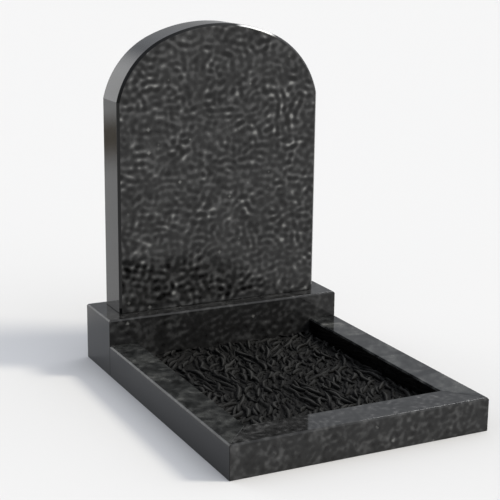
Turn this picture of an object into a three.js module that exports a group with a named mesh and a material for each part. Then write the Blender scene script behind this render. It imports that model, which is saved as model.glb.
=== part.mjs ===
// A small kerbed grave memorial in polished dark granite. A headstone with a curved top
// stands on a plinth, and three kerbs in front of it close a shallow bed of stone chippings.
// Millimetres. +X is to the right, +Y to the back and +Z up. The origin is on the ground,
// in the middle of the whole memorial's plan.

import * as THREE from 'three';

// Plan of the whole set
const overallWidth = 600;
const joint = 0.3; // open joint between two neighbouring stones

// Plinth, one sawn block
const plinthDepth = 155;
const plinthHeight = 135;
const plinthArris = 3.5; // 45 degree chamfer round the top

// Headstone, one slab with a three-arc top that meets the straight sides at a slight corner
const slabWidth = 516;
const slabHeight = 668;
const slabThickness = 97;
const slabSetback = 40; // plinth front to slab face
const slabArris = 5.5;
const crownRadius = 347; // middle arc of the top
const crownHalfAngle = 24.4; // degrees, how far the middle arc reaches from the top
const shoulderAngle = 77.4; // degrees from the top, where the outer arc ends on the side
const arcStep = 1.2; // degrees of arc in one facet

// Kerbs, three sawn bars with mitred front corners
const kerbLength = 645; // plinth front to kerb front
const kerbHeight = 74;
const sideKerbWidth = 72;
const frontKerbWidth = 80;
const kerbArris = 3.5;

// Bed of flat chippings, which lie along the bed in waves
const bedHeight = 38; // mean level of the stones' tops
const chipLength = 50;
const chipWidth = 14;
const chipRise = 8; // lowest gap to highest chip
const chipVariety = 0.5; // the lowest chip rises less by this share
const swayDepth = 11; // how far a wave pushes the chips sideways
const swayLength = 210;
const chipSeed = 7;

// Places that follow from the sizes above
const frontY = -(plinthDepth + kerbLength) / 2;
const plinthFrontY = frontY + kerbLength;
const halfWidth = overallWidth / 2;
const innerHalfWidth = halfWidth - sideKerbWidth;
const innerFrontY = frontY + frontKerbWidth;

// Joins a row of rings, each with the same number of points, into one closed body. The rings
// are convex and run anticlockwise as seen from outside the first ring.
function loft(rings) {
  const count = rings[0].length;
  const indices = [];
  for (let ring = 0; ring + 1 < rings.length; ring++) {
    for (let i = 0; i < count; i++) {
      const a = ring * count + i;
      const b = ring * count + ((i + 1) % count);
      indices.push(a, b + count, b, a, a + count, b + count);
    }
  }
  const last = (rings.length - 1) * count;
  let low = 0;
  let high = count - 1;
  while (high - low > 1) {
    const next = low + 1;
    indices.push(low, next, high);
    indices.push(last + low, last + high, last + next);
    low = next;
    if (high - low > 1) {
      indices.push(low, high - 1, high);
      indices.push(last + low, last + high, last + high - 1);
      high -= 1;
    }
  }
  return solid(rings.flat(), indices);
}

function solid(points, indices) {
  const geometry = new THREE.BufferGeometry().setFromPoints(points);
  geometry.setIndex(indices);
  const flat = geometry.toNonIndexed();
  flat.computeVertexNormals();
  return flat;
}

// Plinth: its top ring is drawn in by the arris.
function plinth() {
  const ring = (inset, z) => {
    const x = halfWidth - inset;
    const front = plinthFrontY + inset;
    const back = plinthFrontY + plinthDepth - inset;
    return [
      new THREE.Vector3(-x, front, z),
      new THREE.Vector3(x, front, z),
      new THREE.Vector3(x, back, z),
      new THREE.Vector3(-x, back, z),
    ];
  };
  return loft([
    ring(plinthArris, plinthHeight),
    ring(0, plinthHeight - plinthArris),
    ring(0, 0),
  ]);
}

// Headstone outline as seen from the front, drawn in by an inset at the sides and the top.
// The foot is sawn flat and has no arris, because it sits on the plinth.
function slabOutline(inset) {
  const crown = THREE.MathUtils.degToRad(crownHalfAngle);
  const shoulder = THREE.MathUtils.degToRad(shoulderAngle);
  const halfSlab = slabWidth / 2;
  const reach = Math.sin(shoulder) - Math.sin(crown);
  const shoulderRadius = (halfSlab - crownRadius * Math.sin(crown)) / reach;
  const crownCentre = new THREE.Vector2(0, slabHeight - crownRadius);
  const shoulderCentre = new THREE.Vector2(
    (crownRadius - shoulderRadius) * Math.sin(crown),
    crownCentre.y + (crownRadius - shoulderRadius) * Math.cos(crown),
  );
  const side = halfSlab - inset;
  const end = Math.asin((side - shoulderCentre.x) / (shoulderRadius - inset));
  const arc = (centre, radius, from, to, steps) =>
    Array.from({ length: steps }, (_, i) => {
      const angle = from + ((to - from) * i) / steps;
      return new THREE.Vector2(
        centre.x + radius * Math.sin(angle),
        centre.y + radius * Math.cos(angle),
      );
    });
  const crownSteps = Math.round(crownHalfAngle / arcStep);
  const shoulderSteps = Math.round((shoulderAngle - crownHalfAngle) / arcStep);
  const right = [
    ...arc(shoulderCentre, shoulderRadius - inset, end, crown, shoulderSteps),
    ...arc(crownCentre, crownRadius - inset, crown, 0, crownSteps),
  ];
  const left = right.map((p) => new THREE.Vector2(-p.x, p.y)).reverse();
  return [
    new THREE.Vector2(-side, 0),
    new THREE.Vector2(side, 0),
    ...right,
    new THREE.Vector2(0, slabHeight - inset),
    ...left,
  ];
}

function headstone() {
  const foot = plinthHeight + joint;
  const face = plinthFrontY + slabSetback;
  const ring = (inset, depth) =>
    slabOutline(inset).map((p) => new THREE.Vector3(p.x, face + depth, foot + p.y));
  return loft([
    ring(slabArris, 0),
    ring(0, slabArris),
    ring(0, slabThickness - slabArris),
    ring(slabArris, slabThickness),
  ]);
}

// Kerb section between two places across the bar, with both top edges chamfered
function kerbSection(from, to) {
  const arris = kerbArris * Math.sign(to - from);
  return [
    [from, 0],
    [to, 0],
    [to, kerbHeight - kerbArris],
    [to - arris, kerbHeight],
    [from + arris, kerbHeight],
    [from, kerbHeight - kerbArris],
  ];
}

// The mitre runs from the outer corner of the frame to the inner one. Each bar stops half a
// joint short of it, measured square to the cut.
const mitreLength = Math.hypot(sideKerbWidth, frontKerbWidth);

function sideKerb(side) {
  const outer = side * halfWidth;
  const inner = side * innerHalfWidth;
  const section = kerbSection(Math.min(outer, inner), Math.max(outer, inner));
  const slope = frontKerbWidth / sideKerbWidth;
  const gap = ((joint / 2) * mitreLength) / sideKerbWidth;
  const mitreY = (x) => frontY + (halfWidth - Math.abs(x)) * slope + gap;
  return loft([
    section.map(([x, z]) => new THREE.Vector3(x, mitreY(x), z)),
    section.map(([x, z]) => new THREE.Vector3(x, plinthFrontY - joint, z)),
  ]);
}

function frontKerb() {
  const section = kerbSection(innerFrontY, frontY);
  const slope = sideKerbWidth / frontKerbWidth;
  const gap = ((joint / 2) * mitreLength) / frontKerbWidth;
  const mitreX = (y) => halfWidth - (y - frontY) * slope - gap;
  return loft([
    section.map(([y, z]) => new THREE.Vector3(-mitreX(y), y, z)),
    section.map(([y, z]) => new THREE.Vector3(mitreX(y), y, z)),
  ]);
}

// Bed of chippings as one body. Columns of long chips run from front to back, each column
// half a chip on from the last, and each chip is a low hipped ridge. Waves bend the columns
// away from the straight rim.
function chippingsBed() {
  const left = -innerHalfWidth + joint;
  const front = innerFrontY + joint;
  const width = -2 * left;
  const length = plinthFrontY - joint - front;
  const columns = Math.round(width / chipWidth);
  const halfRows = 2 * Math.round(length / chipLength);
  const gapZ = bedHeight - chipRise / 2;
  const points = [];
  const indices = [];

  const bend = (u, v) => {
    const calm = Math.sin(Math.PI * u) * Math.sin(Math.PI * v);
    const phase = (2 * Math.PI * v * length) / swayLength + 2 * Math.PI * u;
    return calm * swayDepth * Math.sin(phase);
  };
  const addPoint = (u, v, z) => {
    const x = left + u * width + bend(u, v);
    points.push(new THREE.Vector3(x, front + v * length, z));
    return points.length - 1;
  };

  const grid = [];
  for (let i = 0; i <= columns; i++) {
    grid.push([]);
    for (let j = 0; j <= halfRows; j++) {
      grid[i].push(addPoint(i / columns, j / halfRows, gapZ));
    }
  }

  THREE.MathUtils.seededRandom(chipSeed);
  for (let i = 0; i < columns; i++) {
    for (let start = -(i % 2); start < halfRows; start += 2) {
      const low = Math.max(start, 0);
      const high = Math.min(start + 2, halfRows);
      const rise = chipRise * (1 - chipVariety * THREE.MathUtils.seededRandom());
      const middle = (i + 0.5) / columns;
      const ridgeLow = addPoint(middle, (low + 0.5) / halfRows, gapZ + rise);
      const near = [grid[i][low], grid[i + 1][low]];
      const far = [grid[i][high], grid[i + 1][high]];
      if (high - low === 1) {
        indices.push(near[0], near[1], ridgeLow, near[1], far[1], ridgeLow);
        indices.push(far[1], far[0], ridgeLow, far[0], near[0], ridgeLow);
        continue;
      }
      const ridgeHigh = addPoint(middle, (high - 0.5) / halfRows, gapZ + rise);
      const mid = [grid[i][low + 1], grid[i + 1][low + 1]];
      indices.push(near[0], near[1], ridgeLow, far[1], far[0], ridgeHigh);
      indices.push(near[1], mid[1], ridgeLow, mid[1], ridgeHigh, ridgeLow);
      indices.push(mid[1], far[1], ridgeHigh, near[0], ridgeLow, mid[0]);
      indices.push(mid[0], ridgeLow, ridgeHigh, mid[0], ridgeHigh, far[0]);
    }
  }

  // Upright rim down to the ground, and the underside as a fan round its middle
  const rim = [
    ...grid.map((line) => line[0]),
    ...grid[columns].slice(1),
    ...grid.slice(0, -1).reverse().map((line) => line[halfRows]),
    ...grid[0].slice(1, -1).reverse(),
  ];
  const ground = rim.map((top) => {
    points.push(new THREE.Vector3(points[top].x, points[top].y, 0));
    return points.length - 1;
  });
  points.push(new THREE.Vector3(0, front + length / 2, 0));
  const middle = points.length - 1;
  for (let i = 0; i < rim.length; i++) {
    const next = (i + 1) % rim.length;
    indices.push(rim[i], ground[i], ground[next], rim[i], ground[next], rim[next]);
    indices.push(ground[i], middle, ground[next]);
  }
  return solid(points, indices);
}

function stone(name, geometry, colour, roughness) {
  const material = new THREE.MeshStandardMaterial({ color: colour, roughness, metalness: 0 });
  material.name = name;
  const mesh = new THREE.Mesh(geometry, material);
  mesh.name = name;
  return mesh;
}

const polished = 0.08;
const broken = 0.7;
const memorial = new THREE.Group();
memorial.add(
  stone('plinth', plinth(), '#3a3a3c', polished),
  stone('headstone_slab', headstone(), '#3d3d3f', polished),
  stone('left_kerb', sideKerb(-1), '#47484a', polished),
  stone('right_kerb', sideKerb(1), '#47484a', polished),
  stone('front_kerb', frontKerb(), '#47484a', polished),
  stone('chippings_bed', chippingsBed(), '#1e1d1c', broken),
);

export default memorial;
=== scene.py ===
# %% [markdown]
# # A polished granite headstone with its kerb set
#
# The memorial is cut from dark, dense granite and polished until it mirrors the room. A slab
# with a curved top stands on a plinth, and three low kerbs in front close a bed of broken
# stone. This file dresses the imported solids: it softens the edges of the stones, lays real
# chippings in the bed, makes the materials, and sets up the camera, floor and light.

# %% Load the frame
import math
import random

import bmesh
import bpy
from mathutils import Matrix, Vector


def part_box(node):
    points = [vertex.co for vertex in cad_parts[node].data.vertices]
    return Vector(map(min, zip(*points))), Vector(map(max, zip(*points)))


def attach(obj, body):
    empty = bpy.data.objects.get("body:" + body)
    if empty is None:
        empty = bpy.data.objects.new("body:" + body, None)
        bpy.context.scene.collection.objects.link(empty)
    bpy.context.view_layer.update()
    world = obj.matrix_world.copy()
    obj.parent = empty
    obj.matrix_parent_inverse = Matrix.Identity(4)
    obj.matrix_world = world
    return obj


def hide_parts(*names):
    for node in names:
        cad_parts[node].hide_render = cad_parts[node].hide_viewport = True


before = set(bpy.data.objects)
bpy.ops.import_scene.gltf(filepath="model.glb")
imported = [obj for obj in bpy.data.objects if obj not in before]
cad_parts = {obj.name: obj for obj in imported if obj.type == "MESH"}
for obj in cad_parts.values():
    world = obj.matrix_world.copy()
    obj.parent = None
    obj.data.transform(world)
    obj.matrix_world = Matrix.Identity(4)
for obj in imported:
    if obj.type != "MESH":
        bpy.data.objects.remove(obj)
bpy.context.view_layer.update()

scene = bpy.context.scene
MM = 0.001

print("stones in the frame:", ", ".join(sorted(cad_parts)))

# %% [markdown]
# ## Camera
#
# The picture was taken with a short telephoto lens from the left, a little above the stone.
# The camera could be placed by eye, but then every edge would be a few pixels out. Instead
# its place, its turn and its lens were worked out once from the edges of the kerbs, the
# plinth and the slab, and are set here as plain numbers.

# %% Set the camera
CAMERA_PLACE = Vector((-1279, -2436, 1025)) * MM
CAMERA_YAW = 26.55  # degrees to the right of straight back
CAMERA_PITCH = 14.20  # degrees down
CAMERA_ROLL = 0.64
SENSOR_WIDTH = 36.0
LENS = 92.7

camera_data = bpy.data.cameras.new("camera")
camera_data.sensor_width = SENSOR_WIDTH
camera_data.lens = LENS
camera = bpy.data.objects.new("camera", camera_data)
scene.collection.objects.link(camera)
camera.matrix_world = (
    Matrix.Translation(CAMERA_PLACE)
    @ Matrix.Rotation(math.radians(-CAMERA_YAW), 4, "Z")
    @ Matrix.Rotation(math.radians(90 - CAMERA_PITCH), 4, "X")
    @ Matrix.Rotation(math.radians(CAMERA_ROLL), 4, "Z")
)
scene.camera = camera

print("camera", [round(c, 3) for c in CAMERA_PLACE], "m, lens", LENS, "mm")

# %% [markdown]
# ## Colours and nodes
#
# Screen colours are written as sRGB hex values, but shaders work in linear light, so one
# function turns each value over. A second small function adds any node with its settings
# and its links, which keeps each material readable as a list of what it is made of.


# %% Colour and node helpers
def linear(hex_colour):
    """An sRGB hex colour as linear red, green, blue and alpha."""
    parts = [int(hex_colour[i:i + 2], 16) / 255 for i in (1, 3, 5)]
    return [p / 12.92 if p <= 0.04045 else ((p + 0.055) / 1.055) ** 2.4 for p in parts] + [1.0]


def add_node(tree, kind, inputs=None, stops=(), **settings):
    """Adds a node, sets it up, and fills its inputs with values or with other nodes' outputs."""
    made = tree.nodes.new(kind)
    for name, value in settings.items():
        setattr(made, name, value)
    for key, value in (inputs or {}).items():
        if isinstance(value, bpy.types.NodeSocket):
            tree.links.new(value, made.inputs[key])
        else:
            made.inputs[key].default_value = value
    if stops:
        elements = made.color_ramp.elements
        while len(elements) < len(stops):
            elements.new(1.0)
        for element, (where, colour) in zip(elements, stops):
            element.position = where
            element.color = linear(colour)
    return made


def new_material(name):
    material = bpy.data.materials.new(name)
    material.use_nodes = True
    material.node_tree.nodes.clear()
    return material, material.node_tree


print("mid grey in linear light:", [round(c, 3) for c in linear("#808080")])

# %% [markdown]
# ## Floor
#
# The stone stands on a white sweep with no corner in sight. A large plane does the same, as
# the horizon lies above the picture. The polished faces mirror this floor, so its tone
# matters as much to the stone as the lamps do.


# %% Lay the floor
def stage_sheet(name, corners, material):
    """A flat sheet of the studio, which isn't part of the memorial."""
    mesh = bpy.data.meshes.new(name)
    mesh.from_pydata(corners, [], [(0, 1, 2, 3)])
    mesh.materials.append(material)
    sheet = bpy.data.objects.new(name, mesh)
    scene.collection.objects.link(sheet)
    return sheet


SQUARE = ((-1, -1), (1, -1), (1, 1), (-1, 1))
FLOOR_SIDE = 80.0
FLOOR_DROP = 0.2 * MM

floor_paint, tree = new_material("matt_white_sweep")
shader = add_node(tree, "ShaderNodeBsdfDiffuse", {"Color": linear("#e2e2e3")})
add_node(tree, "ShaderNodeOutputMaterial", {"Surface": shader.outputs[0]})
floor_corners = [(x * FLOOR_SIDE / 2, y * FLOOR_SIDE / 2, -FLOOR_DROP) for x, y in SQUARE]
stage_sheet("floor", floor_corners, floor_paint)

print("floor", FLOOR_SIDE, "m square")

# %% [markdown]
# ## Light
#
# The floor shows one soft shadow, which falls to the left and back, so the main lamp stands
# on the right in front, far away. A sun lamp with a wide angle gives such a softbox the same
# strength all over the floor. The rest is room light: a dome that is dim near the horizon,
# where the tops of the kerbs mirror it, and brighter overhead, with a broad glow round the
# main lamp. A soft pale window stands low behind on the left, where the shoulder of the slab
# mirrors it. The room is slightly cool and the lamp slightly warm, so that the floor comes
# out neutral and its shadow bluish.

# %% Room light
ROOM_TONES = ((0.22, "#a7a8aa"), (0.46, "#c9cdd4"))
SPREAD_GLOW = 0.90
SPREAD_DIRECTION = Vector((0.80, -0.40, 0.45)).normalized()
WINDOW_GLOW = 1.55
WINDOW_DIRECTION = Vector((-0.50, 0.84, 0.17)).normalized()
SPREAD_EDGE = (0.35, 0.95)  # cosines of the angles where a glow starts and where it is full
WINDOW_EDGE = (0.84, 0.98)

world = bpy.data.worlds.new("studio")
world.use_nodes = True
scene.world = world
tree = world.node_tree
tree.nodes.clear()
direction = add_node(tree, "ShaderNodeTexCoord").outputs["Generated"]
height = add_node(tree, "ShaderNodeSeparateXYZ", {0: direction}).outputs["Z"]
light = add_node(tree, "ShaderNodeValToRGB", {"Fac": height}, stops=ROOM_TONES).outputs["Color"]
for toward, edge, strength in (
    (WINDOW_DIRECTION, WINDOW_EDGE, WINDOW_GLOW),
    (SPREAD_DIRECTION, SPREAD_EDGE, SPREAD_GLOW),
):
    nearness = add_node(
        tree, "ShaderNodeVectorMath", {0: direction, 1: toward}, operation="DOT_PRODUCT"
    ).outputs["Value"]
    glow = add_node(
        tree,
        "ShaderNodeMapRange",
        {"Value": nearness, "From Min": edge[0], "From Max": edge[1], "To Max": strength},
        interpolation_type="SMOOTHSTEP",
    ).outputs["Result"]
    light = add_node(
        tree, "ShaderNodeVectorMath", {0: light, 1: glow}, operation="ADD"
    ).outputs[0]
background = add_node(tree, "ShaderNodeBackground", {"Color": light}).outputs[0]
add_node(tree, "ShaderNodeOutputWorld", {"Surface": background})

print("room light with", len(ROOM_TONES), "tones from the horizon up")

# %% Softbox
KEY_DIRECTION = Vector((1.12, -0.56, 1.0)).normalized()
KEY_DISTANCE = 3.0
KEY_WIDTH = math.radians(13)
KEY_STRENGTH = 1.78

key_data = bpy.data.lights.new("softbox", "SUN")
key_data.angle = KEY_WIDTH
key_data.energy = KEY_STRENGTH
key_data.color = linear("#fff7e5")[:3]
key = bpy.data.objects.new("softbox", key_data)
scene.collection.objects.link(key)
key.location = KEY_DIRECTION * KEY_DISTANCE
key.rotation_euler = KEY_DIRECTION.to_track_quat("Z", "Y").to_euler()

scene.view_settings.view_transform = "Standard"

print("softbox", KEY_STRENGTH, "W per square metre")

# %% [markdown]
# ### Seen only in the polish
#
# Two sheets show only as reflections, and both paint light into the polish. The side of the
# slab mirrors the floor some metres behind on the left and shows a soft brown patch there: a
# sheet with a soft edge lies there and paints this dark reflection. The arris right of the
# crown is a white glare, a painted highlight from a glowing card with soft ends high on the
# right. Only mirrored rays see the two, so they stay out of every picture and light nothing.


# %% Helpers for mirrored sheets
def show_only_in_mirrors(sheet):
    for rays in ("camera", "diffuse", "shadow", "transmission"):
        setattr(sheet, "visible_" + rays, False)


def fade_out(tree, reach, edge, middle, surface):
    """Ends a sheet's material: its surface where the reach is less than middle, a soft
    change, and nothing beyond the edge."""
    cover = add_node(
        tree,
        "ShaderNodeMapRange",
        {"Value": reach, "From Min": edge, "From Max": middle},
        interpolation_type="SMOOTHSTEP",
    ).outputs["Result"]
    bare = add_node(tree, "ShaderNodeBsdfTransparent").outputs[0]
    shader = add_node(tree, "ShaderNodeMixShader", {0: cover, 1: bare, 2: surface})
    add_node(tree, "ShaderNodeOutputMaterial", {"Surface": shader.outputs[0]})


print("sheets for the reflections stay out of the picture")

# %% Sheet for a painted dark reflection
REFLECTION_SHEET_CENTRE = Vector((-1.45, 3.50, 0.0))
REFLECTION_SHEET_REACH = Vector((1.5, 1.05, 1.0))
REFLECTION_SHEET_LIFT = 1 * MM
REFLECTION_SHEET_EVEN_PART = 0.1  # of its reach, beyond which it fades

painted_reflection_material, tree = new_material("painted_dark_reflection")
place = add_node(
    tree,
    "ShaderNodeMapping",
    {
        "Vector": add_node(tree, "ShaderNodeTexCoord").outputs["Object"],
        "Location": REFLECTION_SHEET_CENTRE,
        "Scale": REFLECTION_SHEET_REACH,
    },
    vector_type="TEXTURE",
).outputs[0]
reach = add_node(tree, "ShaderNodeVectorMath", {0: place}, operation="LENGTH").outputs["Value"]
# painted reflection: this brown-grey sheet is seen only in the polish, where it paints a soft
# dark patch on the side of the slab
dark_reflection_surface = add_node(tree, "ShaderNodeBsdfDiffuse", {"Color": linear("#7c7365")}).outputs[0]
fade_out(tree, reach, 1.0, REFLECTION_SHEET_EVEN_PART, dark_reflection_surface)

reflection_sheet_corners = [
    REFLECTION_SHEET_CENTRE + Vector((x * REFLECTION_SHEET_REACH.x, y * REFLECTION_SHEET_REACH.y, REFLECTION_SHEET_LIFT)) for x, y in SQUARE
]
show_only_in_mirrors(stage_sheet("dark_mat", reflection_sheet_corners, painted_reflection_material))

print("mat", 2 * REFLECTION_SHEET_REACH.x, "by", 2 * REFLECTION_SHEET_REACH.y, "m")

# %% Card of painted glare
STRIP_MIRRORED_FROM = Vector((0.10, 0.25, 0.79))  # on the arris, in metres
STRIP_FIRST_WAY = Vector((0.530, -0.044, 0.845))  # from there toward the lamp's two ends
STRIP_LAST_WAY = Vector((0.790, 0.132, 0.595))
STRIP_DISTANCE = 3.0
STRIP_WIDTH = 0.40
STRIP_STRENGTH = 30.0
STRIP_EVEN_PART = 0.6  # of its length, beyond which it fades

start = STRIP_MIRRORED_FROM + STRIP_FIRST_WAY * STRIP_DISTANCE
end = STRIP_MIRRORED_FROM + STRIP_LAST_WAY * STRIP_DISTANCE
half_length = (end - start).length / 2

painted_glare_material, tree = new_material("painted_glare_glow")
reach = add_node(
    tree,
    "ShaderNodeVectorMath",
    {0: add_node(tree, "ShaderNodeTexCoord").outputs["Object"], 1: (start + end) / 2},
    operation="DISTANCE",
).outputs["Value"]
# painted highlight: a glowing card, seen only in the polish, puts the white glare on the arris
# right of the crown and lights nothing
glow = add_node(tree, "ShaderNodeEmission", {"Strength": STRIP_STRENGTH}).outputs[0]
fade_out(tree, reach, half_length, half_length * STRIP_EVEN_PART, glow)

across = (end - start).cross(STRIP_FIRST_WAY).normalized() * STRIP_WIDTH / 2
strip_corners = [start - across, end - across, end + across, start + across]
show_only_in_mirrors(stage_sheet("strip_lamp", strip_corners, painted_glare_material))

print("strip lamp", round(2 * half_length, 2), "m long")

# %% [markdown]
# ## Polished dark granite
#
# The stone is a dark gabbro, sold as black granite. It is sawn, then ground and polished to
# a mirror. Nearly black minerals hold small, smoky grey feldspar needles, which lie in
# curled, broken chains, with a few bright grains. The kerbs show more soft clouds and fewer
# chains. In real stone all this is finer: here the chains are drawn about 7 mm wide and 18 mm
# apart, and the grains about 5 mm wide, or they wouldn't show.
#
# A picture of stone would repeat or show an edge. A Voronoi or plain noise gives blots, but
# Gabor noise is made of short striped patches of one wavelength in all directions, and these
# join into just such curls. Two sets of curls cross and break each other up. A slow noise
# bends them, and another makes them clear in one place and faint in the next. The mirror on
# top comes from a low roughness and a Fresnel reflection.

# %% Curls, clouds and grit
WARP_MM = 60.0
WARP_REACH = 0.6  # of the distance between curls
CURLS_TOGETHER = 2.08  # stripes side by side in one patch
CHAIN_SHIFTS = ((0.0, 0.0, 0.0), (3.7, 5.3, 7.1))  # one crossing set of chains for each
CLEAR_MM = 75.0
CLEAR_NOISE = (0.35, 0.65)
CLEAR_RANGE = (0.7, 1.3)
CLOUD_CURL = 0.8
GRIT_MM = 6.0
GRIT_STRENGTH = 0.18


def rock_tone(tree, place, curl, cloud):
    """How pale the rock is at each place, from 0 to 1, and its grit. Curl and cloud are each
    a size in mm and a strength."""
    curl_mm, curl_strength = curl
    cloud_mm, cloud_strength = cloud
    warp = add_node(
        tree, "ShaderNodeTexNoise", {"Vector": place, "Scale": 1 / (WARP_MM * MM), "Detail": 1.0}
    ).outputs["Color"]
    bent = add_node(
        tree,
        "ShaderNodeVectorMath",
        {0: warp, 1: (WARP_REACH * curl_mm * MM,) * 3, 2: place},
        operation="MULTIPLY_ADD",
    ).outputs[0]
    chains = []
    for shift in CHAIN_SHIFTS:
        moved = add_node(
            tree, "ShaderNodeVectorMath", {0: bent, 1: shift}, operation="ADD"
        ).outputs[0]
        chains.append(add_node(
            tree,
            "ShaderNodeTexGabor",
            {
                "Vector": moved,
                "Scale": 1 / (CURLS_TOGETHER * curl_mm * MM),
                "Frequency": CURLS_TOGETHER,
                "Anisotropy": 0.0,
            },
            gabor_type="3D",
        ).outputs["Value"])
    clear = add_node(
        tree, "ShaderNodeTexNoise", {"Vector": bent, "Scale": 1 / (CLEAR_MM * MM), "Detail": 0.0}
    ).outputs["Fac"]
    clearness = add_node(
        tree,
        "ShaderNodeMapRange",
        {
            "Value": clear,
            "From Min": CLEAR_NOISE[0],
            "From Max": CLEAR_NOISE[1],
            "To Min": CLEAR_RANGE[0] * curl_strength,
            "To Max": CLEAR_RANGE[1] * curl_strength,
        },
    ).outputs["Result"]
    clouds = add_node(
        tree,
        "ShaderNodeTexNoise",
        {
            "Vector": place,
            "Scale": 1 / (cloud_mm * MM),
            "Detail": 2.0,
            "Distortion": CLOUD_CURL,
        },
    ).outputs["Fac"]
    grit = add_node(
        tree, "ShaderNodeTexNoise", {"Vector": place, "Scale": 1 / (GRIT_MM * MM), "Detail": 1.0}
    ).outputs["Fac"]
    parts = [(chain, clearness) for chain in chains]
    parts += [(clouds, cloud_strength), (grit, GRIT_STRENGTH)]
    tone = 0.5
    for part, strength in parts:
        off = add_node(tree, "ShaderNodeMath", {0: part, 1: 0.5}, operation="SUBTRACT").outputs[0]
        tone = add_node(
            tree, "ShaderNodeMath", {0: off, 1: strength, 2: tone}, operation="MULTIPLY_ADD"
        ).outputs[0]
    return tone, grit


print("grit", GRIT_MM, "mm, clear and faint places", CLEAR_MM, "mm apart")

# %% Bright grains
GRAIN_MM = 26.0
GRAIN_EDGE = (0.29, 0.10)  # in parts of the distance between grains
GRAIN_CHOICE = (0.86, 1.05)  # a cell's lot, for no grain and for a full one


def bright_grains(tree, place):
    """1 on a few single grains of feldspar and 0 between them. The Manhattan distance gives
    them corners."""
    cells = add_node(
        tree,
        "ShaderNodeTexVoronoi",
        {"Vector": place, "Scale": 1 / (GRAIN_MM * MM)},
        distance="MANHATTAN",
    ).outputs
    near = add_node(
        tree,
        "ShaderNodeMapRange",
        {"Value": cells["Distance"], "From Min": GRAIN_EDGE[0], "From Max": GRAIN_EDGE[1]},
    ).outputs["Result"]
    lot = add_node(tree, "ShaderNodeSeparateColor", {0: cells["Color"]}).outputs[0]
    chosen = add_node(
        tree,
        "ShaderNodeMapRange",
        {"Value": lot, "From Min": GRAIN_CHOICE[0], "From Max": GRAIN_CHOICE[1]},
    ).outputs["Result"]
    return add_node(tree, "ShaderNodeMath", {0: near, 1: chosen}, operation="MULTIPLY").outputs[0]


print("a grain in about one cell of", round(1 / (1 - GRAIN_CHOICE[0])), "of", GRAIN_MM, "mm")

# %% Polished granite
POLISH = (0.04, 0.08)
GRANITE_IOR = 1.36
NOISE_SPAN = (0.3, 0.7)  # where nearly all values of a noise lie


def polished_granite(name, tones, curl, cloud, shift, turn=0.0):
    """Polished granite, with tones from dark to pale, evenly spaced. The shift and the turn
    cut each stone from another part of the rock."""
    material, tree = new_material(name)
    place = add_node(
        tree,
        "ShaderNodeMapping",
        {
            "Vector": add_node(tree, "ShaderNodeTexCoord").outputs["Object"],
            "Location": shift,
            "Rotation": (turn, turn / 2, turn),
        },
    ).outputs[0]
    tone, grit = rock_tone(tree, place, curl, cloud)
    steps = [(number / (len(tones) - 1), colour) for number, colour in enumerate(tones)]
    rock = add_node(tree, "ShaderNodeValToRGB", {"Fac": tone}, stops=steps).outputs["Color"]
    rock = add_node(
        tree,
        "ShaderNodeMix",
        {"Factor": bright_grains(tree, place), 6: rock, 7: linear(tones[-1])},
        data_type="RGBA",
    ).outputs[2]
    polish = add_node(
        tree,
        "ShaderNodeMapRange",
        {
            "Value": grit,
            "From Min": NOISE_SPAN[0],
            "From Max": NOISE_SPAN[1],
            "To Min": POLISH[0],
            "To Max": POLISH[1],
        },
    ).outputs["Result"]
    shader = add_node(
        tree,
        "ShaderNodeBsdfPrincipled",
        {"Base Color": rock, "Roughness": polish, "IOR": GRANITE_IOR},
    )
    add_node(tree, "ShaderNodeOutputMaterial", {"Surface": shader.outputs[0]})
    return material


print("polish", POLISH, "rough, from the dense parts to the grit")

# %% [markdown]
# Each stone gets its own cut. The arrises of the slab and the left and right sides of the low
# stones get an almost plain, black granite, which paints shade on them. The sides of the slab
# are a plain dark grey.

# %% Cuts of granite
SLAB_TONES = ("#090909", "#151515", "#2c2c2c", "#4c4c4c", "#828280")
PLINTH_TONES = ("#080808", "#121212", "#242424", "#464646", "#80807e")
KERB_TONES = ("#060606", "#161717", "#292a2a", "#444544", "#666664")
# painted shade: nearly black tones for the slab's arrises and the low stones' left and right
# sides
PAINTED_SHADE_TONES = ("#020202", "#040404", "#080808", "#0c0c0c", "#101010")
SIDE_TONES = ("#262626", "#2a2a2a", "#2e2e2e", "#313131", "#353535")

granites = {
    "headstone_slab": polished_granite(
        "headstone_granite", SLAB_TONES, (18, 0.95), (45, 0.45), (0.0, 0.0, 0.0)
    ),
    "plinth": polished_granite(
        "plinth_granite", PLINTH_TONES, (17, 0.38), (45, 0.5), (1.3, 0.4, 0.2), 0.4
    ),
    "left_kerb": polished_granite(
        "left_kerb_granite", KERB_TONES, (20, 0.35), (50, 1.2), (2.1, 0.8, 0.0), 0.9
    ),
    "right_kerb": polished_granite(
        "right_kerb_granite", KERB_TONES, (22, 0.3), (60, 2.2), (3.7, 0.1, 0.6), 1.7
    ),
    "front_kerb": polished_granite(
        "front_kerb_granite", PLINTH_TONES, (15, 0.45), (30, 0.7), (5.1, 0.7, 1.2), 0.8
    ),
}
# painted shade on the arrises and sides, drawn with the black tones
painted_shade_granite = polished_granite(
    "painted_shade_black_granite", PAINTED_SHADE_TONES, (20, 0.5), (45, 0.5), (0.0, 0.0, 0.0)
)
side_granite = polished_granite(
    "side_cut_granite", SIDE_TONES, (20, 0.5), (45, 0.5), (0.0, 0.0, 0.0)
)

print("made", len(granites) + 2, "cuts of granite")

# %% [markdown]
# ## The cut stones
#
# A mason breaks every sharp edge of a polished stone with a small rounding, or it chips. The
# solids have their true chamfers already but end in knife edges. Rounding could be painted
# on with a bevel shader, but a Bevel modifier gives a real rounding that other views keep.
# Each stone is a merged copy of its solid, with flat faces made whole.

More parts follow.
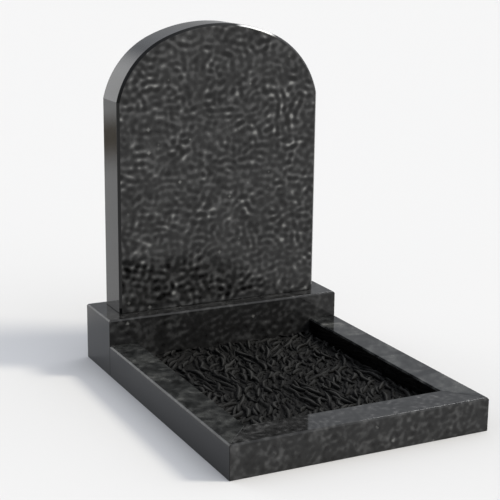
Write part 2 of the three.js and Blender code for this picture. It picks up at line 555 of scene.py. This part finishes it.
# %% Round the stones' edges
EDGE_ROUNDING = 1.0 * MM
MERGE_DISTANCE = 0.01 * MM
SHARP_ANGLE = math.radians(8)
FLAT_ANGLE = math.radians(0.2)
OWN, PAINTED_SHADE, SIDE = 0, 1, 2  # the places of the three granites on a stone
FACE_LEAN = 0.95  # the least part of a face's normal that points to the front or back
ARRIS_LEAN = 0.3
PAINTED_SHADE_LEAN = 0.9  # the same toward a side


def slab_cut(normal):
    """Which granite a face of the slab shows: its own in front and behind, black granite for
    painted shade on the slanted arrises, and the side cut round the rim."""
    lean = abs(normal.y)
    return OWN if lean > FACE_LEAN else PAINTED_SHADE if lean > ARRIS_LEAN else SIDE


def low_stone_cut(normal):
    """Which granite a face of the plinth or a kerb shows: black granite for painted shade on its
    left and right sides, its own elsewhere.
    """
    return PAINTED_SHADE if abs(normal.x) > PAINTED_SHADE_LEAN else OWN


def dress_stone(node, granite, cut):
    """A rounded, polished copy of a CAD stone, which stands for it."""
    form = bmesh.new()
    form.from_mesh(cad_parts[node].data)
    bmesh.ops.remove_doubles(form, verts=form.verts, dist=MERGE_DISTANCE)
    bmesh.ops.dissolve_limit(form, angle_limit=FLAT_ANGLE, verts=form.verts, edges=form.edges)
    mesh = bpy.data.meshes.new(node + "_polished")
    form.to_mesh(mesh)
    form.free()
    if "custom_normal" in mesh.attributes:
        mesh.attributes.remove(mesh.attributes["custom_normal"])
    mesh.materials.clear()
    for material in (granite, painted_shade_granite, side_granite):
        mesh.materials.append(material)
    for face in mesh.polygons:
        face.material_index = cut(face.normal)
    mesh.shade_smooth()
    mesh.set_sharp_from_angle(angle=SHARP_ANGLE)
    stone = bpy.data.objects.new(node + "_polished", mesh)
    scene.collection.objects.link(stone)
    rounding = stone.modifiers.new("rounding", "BEVEL")
    rounding.width = EDGE_ROUNDING
    rounding.segments = 2
    rounding.limit_method = "ANGLE"
    rounding.angle_limit = SHARP_ANGLE
    rounding.harden_normals = True
    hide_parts(node)
    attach(stone, "root")
    return stone


for node, granite in granites.items():
    cut = slab_cut if node == "headstone_slab" else low_stone_cut
    stone = dress_stone(node, granite, cut)
    print(node, "has", len(stone.data.polygons), "faces before rounding")

# %% [markdown]
# ## Chippings
#
# The bed is filled with long, dark, broken chips that lie in wavy rows, as a rake leaves
# them. Over a thousand chips are too many to place by hand. A few chip shapes are made first,
# and Geometry Nodes scatter them over the bed, turn each along the local flow and sink it
# into the layer. The result is one plain mesh, held inside the kerbs. A chip is a bent,
# six-sided shard with pointed ends, of only 32 faces, because it is laid so often.

# %% Chip shapes
CHIP_SHAPES = 7
CHIP_RINGS = 6
CHIP_SIDES = 6
CHIP_LENGTH = (50 * MM, 95 * MM)
CHIP_WIDTH = (9.0 * MM, 12.0 * MM)
CHIP_HEIGHT = (9 * MM, 12 * MM)
CHIP_BEND = 0.20  # the most, in parts of the length
CHIP_WOBBLE = 0.6 * MM
CHIP_BREAKAGE = (0.82, 1.12)  # corners broken back or left proud
CHIP_END = 0.06  # how blunt its ends are, where 0 would be a point
CHIP_TAPER = 0.8
CHIP_SEED = 31
chip_random = random.Random(CHIP_SEED)


def chip_mesh(number):
    """A closed shard that lies along X. A vertex attribute is 1 along the ridge on top and 0
    below it, for a painted highlight on the ridge."""
    length = chip_random.uniform(*CHIP_LENGTH)
    width = chip_random.uniform(*CHIP_WIDTH)
    height = chip_random.uniform(*CHIP_HEIGHT)
    bend = chip_random.uniform(-CHIP_BEND, CHIP_BEND) * length
    form = bmesh.new()
    painted_ridge_highlight = form.verts.layers.float.new("painted_ridge_highlight")
    corners = []
    for ring in range(CHIP_RINGS):
        along = ring / (CHIP_RINGS - 1)
        taper = math.sin(math.pi * (CHIP_END + (1 - 2 * CHIP_END) * along)) ** CHIP_TAPER
        wobble = chip_random.uniform(-CHIP_WOBBLE, CHIP_WOBBLE)
        middle = bend * (1 - (2 * along - 1) ** 2) + wobble
        for side in range(CHIP_SIDES):
            angle = math.tau * side / CHIP_SIDES + math.pi / 2
            size = 0.5 * taper * chip_random.uniform(*CHIP_BREAKAGE)
            corner = form.verts.new((
                (along - 0.5) * length,
                middle + width * size * math.cos(angle),
                height * size * math.sin(angle),
            ))
            # painted highlight: the top corner of each ring is marked, so the ridge on top comes
            # out pale
            corner[painted_ridge_highlight] = 1.0 if side == 0 else 0.0
            corners.append(corner)
    for ring in range(CHIP_RINGS - 1):
        for side in range(CHIP_SIDES):
            here = ring * CHIP_SIDES + side
            beside = ring * CHIP_SIDES + (side + 1) % CHIP_SIDES
            around = (here, beside, beside + CHIP_SIDES, here + CHIP_SIDES)
            form.faces.new([corners[i] for i in around])
    form.faces.new(corners[:CHIP_SIDES])
    form.faces.new(corners[-CHIP_SIDES:])
    bmesh.ops.recalc_face_normals(form, faces=form.faces)
    mesh = bpy.data.meshes.new(f"chip_{number}")
    form.to_mesh(mesh)
    form.free()
    mesh.shade_smooth()
    return mesh


chips = []
for number in range(CHIP_SHAPES):
    chip = bpy.data.objects.new(f"chip_{number}", chip_mesh(number))
    scene.collection.objects.link(chip)
    chips.append(chip)

print("chip shapes with", [len(c.data.polygons) for c in chips], "faces")

# %% [markdown]
# The chips are broken basalt, nearly black and matt. Their top ridges get a painted highlight,
# and what lies deeper in the bed gets painted shade, so the gaps between chips are black. Each
# chip has a tone of its own, from an attribute that the scatter stores, and fine noise roughens
# its surface.

# %% Chippings material
CHIP_GRAIN_MM = 2.5
# painted shade: below the first level chips come out black, above the second they keep their tone
FULL_SHADE_LEVEL_MM = 35.0  # above the ground
NO_SHADE_LEVEL_MM = 41.0
RIDGE_HIGHLIGHT_FALLOFF = 1.5
GRAIN_SHARE = 0.35
RIDGE_HIGHLIGHT_SHARE = 0.65
BASALT_ROUGHNESS = (0.70, 0.95)
BASALT_IOR = 1.31
FACET_STRENGTH = 0.3
FACET_MM = 0.6
BASALT_TONES = ((0.12, "#010101"), (0.28, "#070707"), (0.50, "#161616"), (0.85, "#343433"))

broken_basalt, tree = new_material("broken_basalt")
place = add_node(tree, "ShaderNodeTexCoord").outputs["Object"]
grain = add_node(
    tree,
    "ShaderNodeTexNoise",
    {"Vector": place, "Scale": 1 / (CHIP_GRAIN_MM * MM), "Detail": 3.0, "Roughness": 0.6},
).outputs["Fac"]
# painted shade that deepens toward the bottom of the bed
out_of_painted_shade = add_node(
    tree,
    "ShaderNodeMapRange",
    {
        "Value": add_node(tree, "ShaderNodeSeparateXYZ", {0: place}).outputs["Z"],
        "From Min": FULL_SHADE_LEVEL_MM * MM,
        "From Max": NO_SHADE_LEVEL_MM * MM,
    },
).outputs["Result"]
own = add_node(tree, "ShaderNodeAttribute", attribute_name="chip_tone").outputs["Fac"]
# painted highlight along the top ridge of each chip
ridge_highlight = add_node(tree, "ShaderNodeAttribute", attribute_name="painted_ridge_highlight").outputs["Fac"]
ridge_highlight = add_node(
    tree, "ShaderNodeMath", {0: ridge_highlight, 1: RIDGE_HIGHLIGHT_FALLOFF}, operation="POWER"
).outputs[0]
tone = own
for share, part in ((GRAIN_SHARE, grain), (RIDGE_HIGHLIGHT_SHARE, ridge_highlight)):
    tone = add_node(
        tree, "ShaderNodeMix", {"Factor": share, "A": tone, "B": part}
    ).outputs["Result"]
tone = add_node(tree, "ShaderNodeMath", {0: tone, 1: out_of_painted_shade}, operation="MULTIPLY").outputs[0]
basalt = add_node(tree, "ShaderNodeValToRGB", {"Fac": tone}, stops=BASALT_TONES)
rough = add_node(
    tree,
    "ShaderNodeMapRange",
    {
        "Value": grain,
        "From Min": NOISE_SPAN[0],
        "From Max": NOISE_SPAN[1],
        "To Min": BASALT_ROUGHNESS[0],
        "To Max": BASALT_ROUGHNESS[1],
    },
)
facets = add_node(
    tree,
    "ShaderNodeBump",
    {"Strength": FACET_STRENGTH, "Distance": FACET_MM * MM, "Height": grain},
)
shader = add_node(
    tree,
    "ShaderNodeBsdfPrincipled",
    {
        "Base Color": basalt.outputs["Color"],
        "Roughness": rough.outputs["Result"],
        "Normal": facets.outputs["Normal"],
        "IOR": BASALT_IOR,
    },
)
add_node(tree, "ShaderNodeOutputMaterial", {"Surface": shader.outputs[0]})

print("chippings are", broken_basalt.name, "with grain of", CHIP_GRAIN_MM, "mm")

# %% [markdown]
# ### The scatter
#
# The tree has the bed's two corners, the spacings and the flow as named inputs. It spreads
# points over the bed with a least distance between them. A slow noise bends the rows: it
# swings each chip to both sides of a common heading, which runs aslant along the bed.

# %% Inputs of the scatter
scatter = bpy.data.node_groups.new("lay_chippings", "GeometryNodeTree")
for name, kind in (
    ("Bed Low", "NodeSocketVector"),
    ("Bed High", "NodeSocketVector"),
    ("Spacing", "NodeSocketFloat"),
    ("Small Spacing", "NodeSocketFloat"),
    ("Wave Length", "NodeSocketFloat"),
    ("Heading", "NodeSocketFloat"),
    ("Swing", "NodeSocketFloat"),
    ("Seed", "NodeSocketInt"),
    ("Small Seed", "NodeSocketInt"),
    ("Material", "NodeSocketMaterial"),
):
    scatter.interface.new_socket(name, in_out="INPUT", socket_type=kind)
scatter.interface.new_socket("Geometry", in_out="OUTPUT", socket_type="NodeSocketGeometry")
given = add_node(scatter, "NodeGroupInput").outputs

size = add_node(
    scatter,
    "ShaderNodeVectorMath",
    {0: given["Bed High"], 1: given["Bed Low"]},
    operation="SUBTRACT",
).outputs[0]
centre = add_node(
    scatter,
    "ShaderNodeVectorMath",
    {0: size, 1: (0.5, 0.5, 0.5), 2: given["Bed Low"]},
    operation="MULTIPLY_ADD",
).outputs[0]
surface = add_node(
    scatter,
    "ShaderNodeVectorMath",
    {0: size, 1: (0.5, 0.5, 1.0), 2: given["Bed Low"]},
    operation="MULTIPLY_ADD",
).outputs[0]
size_parts = add_node(scatter, "ShaderNodeSeparateXYZ", {0: size}).outputs
plane = add_node(
    scatter, "GeometryNodeMeshGrid", {"Size X": size_parts["X"], "Size Y": size_parts["Y"]}
).outputs["Mesh"]

print("the scatter has", len(scatter.interface.items_tree) - 1, "inputs")

# %% Flow of the rows
position = add_node(scatter, "GeometryNodeInputPosition").outputs[0]
fineness = add_node(
    scatter, "ShaderNodeMath", {0: 1.0, 1: given["Wave Length"]}, operation="DIVIDE"
).outputs[0]
flow = add_node(
    scatter,
    "ShaderNodeTexNoise",
    {"Vector": position, "Scale": fineness, "Detail": 1.0, "Distortion": 0.6},
).outputs["Fac"]
off = add_node(scatter, "ShaderNodeMath", {0: flow, 1: 0.5}, operation="SUBTRACT").outputs[0]
swing = add_node(
    scatter,
    "ShaderNodeMath",
    {0: off, 1: given["Swing"], 2: given["Heading"]},
    operation="MULTIPLY_ADD",
).outputs[0]
flow_turn = add_node(scatter, "ShaderNodeCombineXYZ", {"Z": swing}).outputs[0]

print("the rows follow", flow.node.bl_label)

# %% [markdown]
# The bed is laid twice. Small chips go in first and low down, so that no flat ground shows
# between the large chips on top. Both layers follow the same rows.

# %% Lay one layer
TILT = Vector((0.22, 0.06, 0.35))  # the most, in radians about each axis
DENSEST = 40000.0  # points on a square metre, far more than the spacing leaves
LARGE_SCALES = ((0.55, 0.8, 0.8), (1.0, 1.1, 1.1))
LARGE_LEVELS = (-9.0 * MM, -3.5 * MM)  # of a chip's middle, from the bed's surface
SMALL_SCALES = ((0.3, 0.6, 0.5), (0.5, 0.9, 0.7))
SMALL_LEVELS = (-9.5 * MM, -7.5 * MM)

shapes = add_node(scatter, "GeometryNodeJoinGeometry")
for chip in chips:
    shape = add_node(scatter, "GeometryNodeObjectInfo", {"Object": chip, "As Instance": True})
    scatter.links.new(shape.outputs["Geometry"], shapes.inputs[0])


def lay_layer(spacing, seed, scales, levels):
    """Chips on the bed, with scales and levels between two limits each."""
    points = add_node(
        scatter,
        "GeometryNodeDistributePointsOnFaces",
        {"Mesh": plane, "Distance Min": spacing, "Density Max": DENSEST, "Seed": seed},
        distribute_method="POISSON",
    ).outputs["Points"]
    tilt = add_node(
        scatter,
        "FunctionNodeRandomValue",
        {0: -TILT, 1: TILT, "Seed": seed},
        data_type="FLOAT_VECTOR",
    ).outputs[0]
    heading = add_node(
        scatter, "ShaderNodeVectorMath", {0: tilt, 1: flow_turn}, operation="ADD"
    ).outputs[0]
    scale = add_node(
        scatter,
        "FunctionNodeRandomValue",
        {0: scales[0], 1: scales[1], "Seed": seed},
        data_type="FLOAT_VECTOR",
    ).outputs[0]
    laid = add_node(
        scatter,
        "GeometryNodeInstanceOnPoints",
        {
            "Points": points,
            "Instance": shapes.outputs[0],
            "Pick Instance": True,
            "Rotation": heading,
            "Scale": scale,
        },
    ).outputs["Instances"]
    own_tone = add_node(scatter, "FunctionNodeRandomValue", {"Seed": seed}).outputs[1]
    toned = add_node(
        scatter,
        "GeometryNodeStoreNamedAttribute",
        {"Geometry": laid, "Name": "chip_tone", "Value": own_tone},
        data_type="FLOAT",
        domain="INSTANCE",
    ).outputs[0]
    lift = add_node(
        scatter, "FunctionNodeRandomValue", {2: levels[0], 3: levels[1], "Seed": seed}
    ).outputs[1]
    lift = add_node(scatter, "ShaderNodeCombineXYZ", {"Z": lift}).outputs[0]
    level = add_node(
        scatter, "ShaderNodeVectorMath", {0: lift, 1: surface}, operation="ADD"
    ).outputs[0]
    sunk = add_node(
        scatter,
        "GeometryNodeTranslateInstances",
        {"Instances": toned, "Translation": level, "Local Space": False},
    ).outputs[0]
    return add_node(scatter, "GeometryNodeRealizeInstances", {"Geometry": sunk}).outputs[0]


large_chips = lay_layer(given["Spacing"], given["Seed"], LARGE_SCALES, LARGE_LEVELS)
small_chips = lay_layer(
    given["Small Spacing"], given["Small Seed"], SMALL_SCALES, SMALL_LEVELS
)

print("two layers laid with", len(chips), "shapes")

# %% [markdown]
# A block of grit fills the bed up to 8 mm below its surface. The two layers and the block are
# joined, whatever would reach past the kerbs is pressed back inside the bed's box, and all of
# it gets the material.

# %% Join the bed
GRIT_BELOW = 8.0 * MM

grit_size = add_node(
    scatter, "ShaderNodeVectorMath", {0: size, 1: (0.0, 0.0, GRIT_BELOW)}, operation="SUBTRACT"
).outputs[0]
grit_block = add_node(scatter, "GeometryNodeMeshCube", {"Size": grit_size}).outputs["Mesh"]
grit_place = add_node(
    scatter,
    "ShaderNodeVectorMath",
    {0: centre, 1: (0.0, 0.0, GRIT_BELOW / 2)},
    operation="SUBTRACT",
).outputs[0]
grit_laid = add_node(
    scatter, "GeometryNodeTransform", {"Geometry": grit_block, "Translation": grit_place}
).outputs[0]
together = add_node(scatter, "GeometryNodeJoinGeometry")
for layer in (large_chips, small_chips, grit_laid):
    scatter.links.new(layer, together.inputs[0])
above_low = add_node(
    scatter, "ShaderNodeVectorMath", {0: position, 1: given["Bed Low"]}, operation="MAXIMUM"
).outputs[0]
inside = add_node(
    scatter, "ShaderNodeVectorMath", {0: above_low, 1: given["Bed High"]}, operation="MINIMUM"
).outputs[0]
held = add_node(
    scatter, "GeometryNodeSetPosition", {"Geometry": together.outputs[0], "Position": inside}
).outputs[0]
coated = add_node(
    scatter, "GeometryNodeSetMaterial", {"Geometry": held, "Material": given["Material"]}
).outputs[0]
add_node(scatter, "NodeGroupOutput", {0: coated})

print("the scatter has", len(scatter.nodes), "nodes")

# %% Lay the chippings
bed_low, bed_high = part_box("chippings_bed")
settings = {
    "Bed Low": tuple(bed_low),
    "Bed High": tuple(bed_high),
    "Spacing": 18.5 * MM,
    "Small Spacing": 13.0 * MM,
    "Wave Length": 150 * MM,
    "Heading": math.radians(68),
    "Swing": math.radians(190),
    "Seed": 5,
    "Small Seed": 11,
    "Material": broken_basalt,
}

bed_source = bpy.data.objects.new("chippings_source", bpy.data.meshes.new("chippings_source"))
scene.collection.objects.link(bed_source)
layers = bed_source.modifiers.new("lay_chippings", "NODES")
layers.node_group = scatter
for item in scatter.interface.items_tree:
    if item.in_out == "INPUT":
        layers[item.identifier] = settings[item.name]
bpy.context.view_layer.update()

evaluated = bed_source.evaluated_get(bpy.context.evaluated_depsgraph_get())
chippings_mesh = bpy.data.meshes.new_from_object(evaluated)
chippings = bpy.data.objects.new("chippings", chippings_mesh)
scene.collection.objects.link(chippings)
for spare in [bed_source, *chips]:
    bpy.data.objects.remove(spare)
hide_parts("chippings_bed")
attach(chippings, "root")

triangles = sum(len(face.vertices) - 2 for face in chippings_mesh.polygons)
print("chippings", triangles, "triangles")
